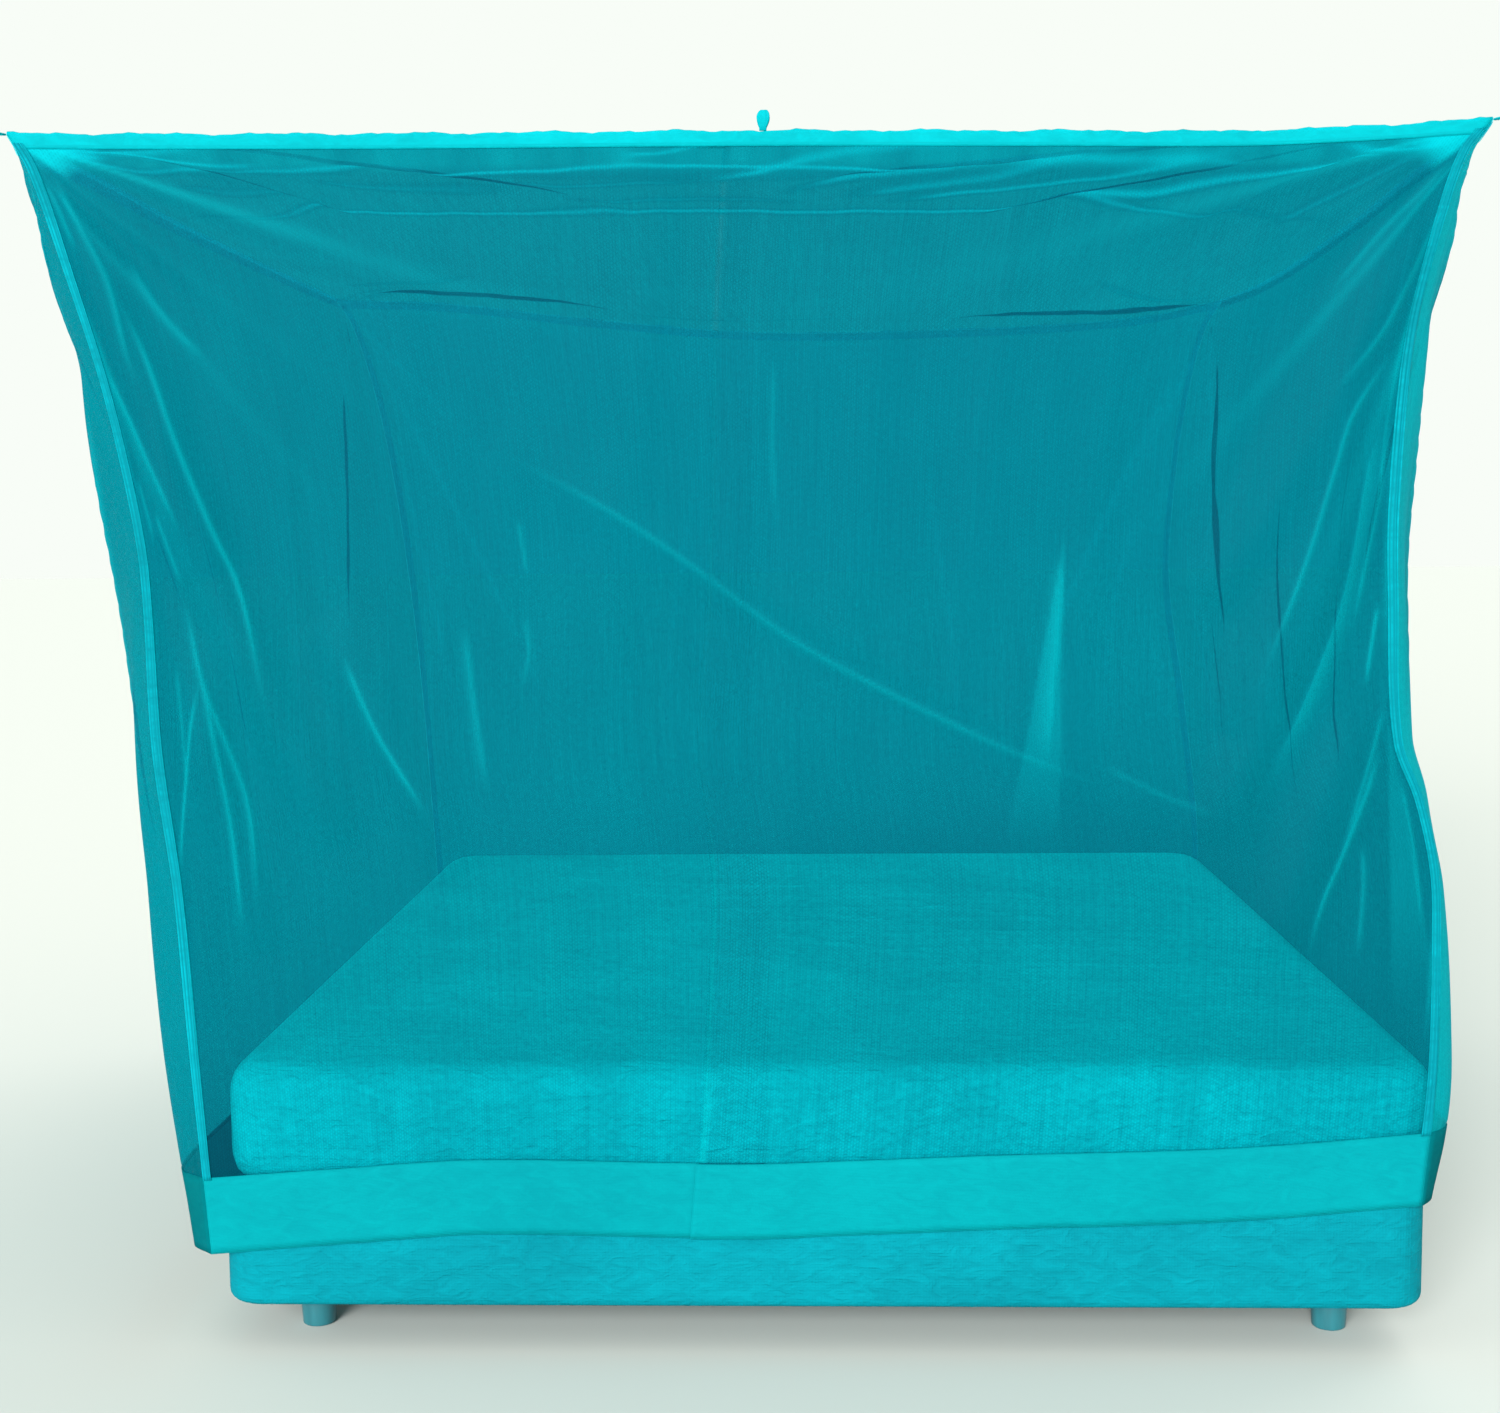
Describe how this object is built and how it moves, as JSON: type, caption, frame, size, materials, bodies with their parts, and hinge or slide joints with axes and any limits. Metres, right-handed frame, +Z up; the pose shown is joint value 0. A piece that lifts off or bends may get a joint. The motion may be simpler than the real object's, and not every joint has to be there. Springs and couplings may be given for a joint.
{
  "type": "mosquito net canopy over a bed",
  "caption": "Box mosquito net with bound roof edges, taped corners and a woven border, hung by corner loops over a plain bed.",
  "frame": {"origin": "on the floor, under the middle of the whole net and bed", "axes": "+X to the right seen from the foot of the bed, +Y towards the head end, +Z up"},
  "size_m": [2.2274, 2.2042, 1.817],
  "materials": {
    "netting": "fine even polyester netting, sheer, turquoise",
    "binding": "folded woven tape, bright turquoise",
    "border": "plain woven cotton border, matt turquoise",
    "mattress": "plain woven cover, matt",
    "base": "plain woven cover, matt",
    "feet": "painted turned wood, satin"
  },
  "bodies": {
    "root": {"roof_panel": "netting", "front_panel_left": "netting", "front_panel_right": "netting", "left_wall": "netting", "right_wall": "netting", "back_wall": "netting", "border_front_left": "border", "border_front_right": "border", "border_left": "border", "border_right": "border", "border_back": "border", "binding_front": "binding", "binding_right": "binding", "binding_back": "binding", "binding_left": "binding", "corner_tape_front_left": "binding", "corner_tape_front_right": "binding", "corner_tape_rear_right": "binding", "corner_tape_rear_left": "binding", "hanging_loop_front_left": "binding", "hanging_loop_front_right": "binding", "hanging_loop_rear_right": "binding", "hanging_loop_rear_left": "binding", "hanging_loop_front": "binding", "mattress": "mattress", "bed_base": "base", "bed_foot_front_left": "feet", "bed_foot_front_right": "feet", "bed_foot_rear_right": "feet", "bed_foot_rear_left": "feet"}
  },
  "joints": []
}
